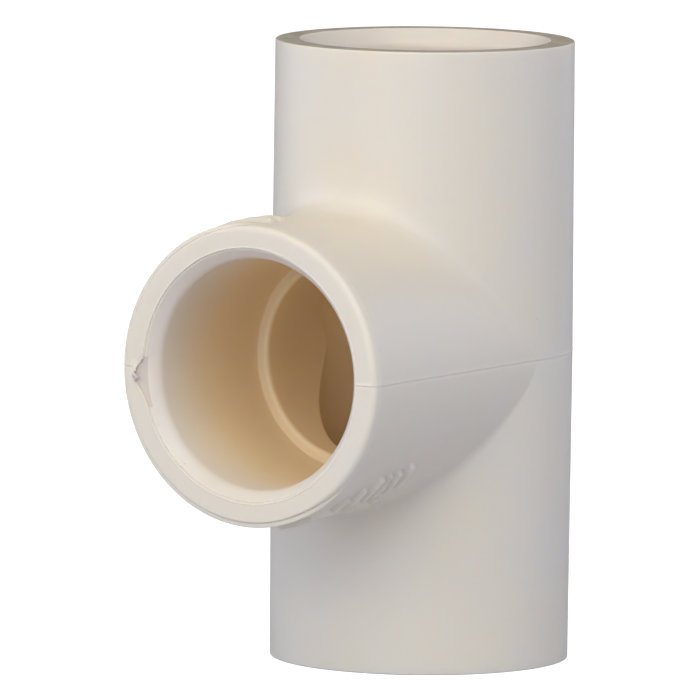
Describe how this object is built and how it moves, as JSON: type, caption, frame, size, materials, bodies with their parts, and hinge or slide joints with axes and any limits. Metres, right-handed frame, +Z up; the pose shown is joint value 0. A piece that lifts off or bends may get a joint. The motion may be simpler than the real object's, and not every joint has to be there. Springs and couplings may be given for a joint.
{
  "type": "pipe tee",
  "caption": "Equal pipe tee in cream plastic with a plain cement socket on each arm, moulded stops and meeting waterways.",
  "frame": {"origin": "middle of the bounding box at its base: the tee stands on the lower end of its run", "axes": "+Z up along the run, -Y out along the branch, +X across both"},
  "size_m": [0.03, 0.0458, 0.0616],
  "materials": {
    "cream_plastic": "satin moulded CPVC, cream"
  },
  "bodies": {
    "root": {"tee_body": "cream_plastic"}
  },
  "joints": []
}
